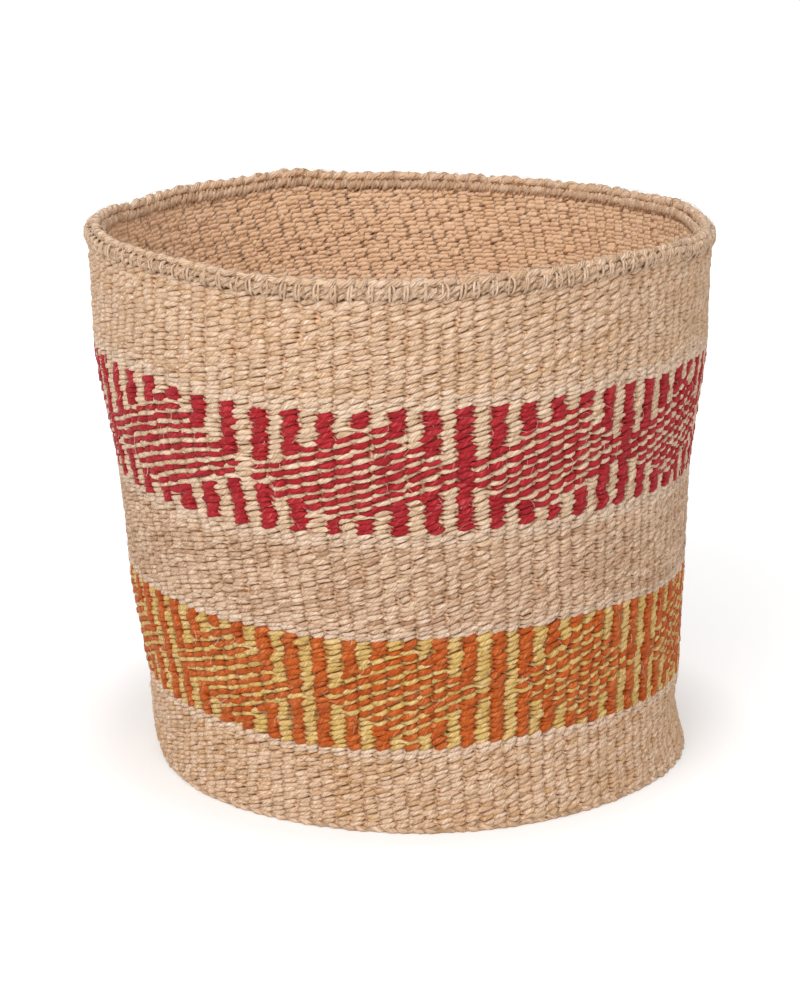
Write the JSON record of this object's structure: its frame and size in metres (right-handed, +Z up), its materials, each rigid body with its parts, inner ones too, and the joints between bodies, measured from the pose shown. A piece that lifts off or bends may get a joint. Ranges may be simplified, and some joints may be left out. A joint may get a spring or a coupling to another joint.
{
  "type": "kiondo basket",
  "caption": "Round twined sisal basket with a flat base, plain and patterned stretches of wall and a rolled, lashed rim, open at the top.",
  "frame": {"origin": "under the middle of the rim, on the surface that the basket stands on", "axes": "+Z up through the open mouth, +X to the right and -Y towards the viewer in the picture"},
  "size_m": [0.2998, 0.2998, 0.2627],
  "materials": {
    "natural_sisal": "matt two-ply sisal cord",
    "warp_sisal": "matt coarse sisal cord",
    "red_sisal": "matt dyed sisal cord",
    "orange_sisal": "matt dyed sisal cord",
    "yellow_sisal": "matt dyed sisal cord"
  },
  "bodies": {
    "root": {"warp_cords": "warp_sisal", "base_lower_weft": "natural_sisal", "base_upper_weft": "natural_sisal", "base_edge_braid": "natural_sisal", "lower_wall_outer_weft": "natural_sisal", "lower_wall_inner_weft": "natural_sisal", "orange_band_outer_weft": "orange_sisal", "orange_band_inner_weft": "yellow_sisal", "middle_wall_outer_weft": "natural_sisal", "middle_wall_inner_weft": "natural_sisal", "red_band_outer_weft": "red_sisal", "red_band_inner_weft": "natural_sisal", "upper_wall_outer_weft": "natural_sisal", "upper_wall_inner_weft": "natural_sisal", "rim_core": "warp_sisal", "rim_outer_twine": "natural_sisal", "rim_inner_twine": "natural_sisal", "rim_top_twine": "natural_sisal", "rim_lashing": "warp_sisal"}
  },
  "joints": []
}
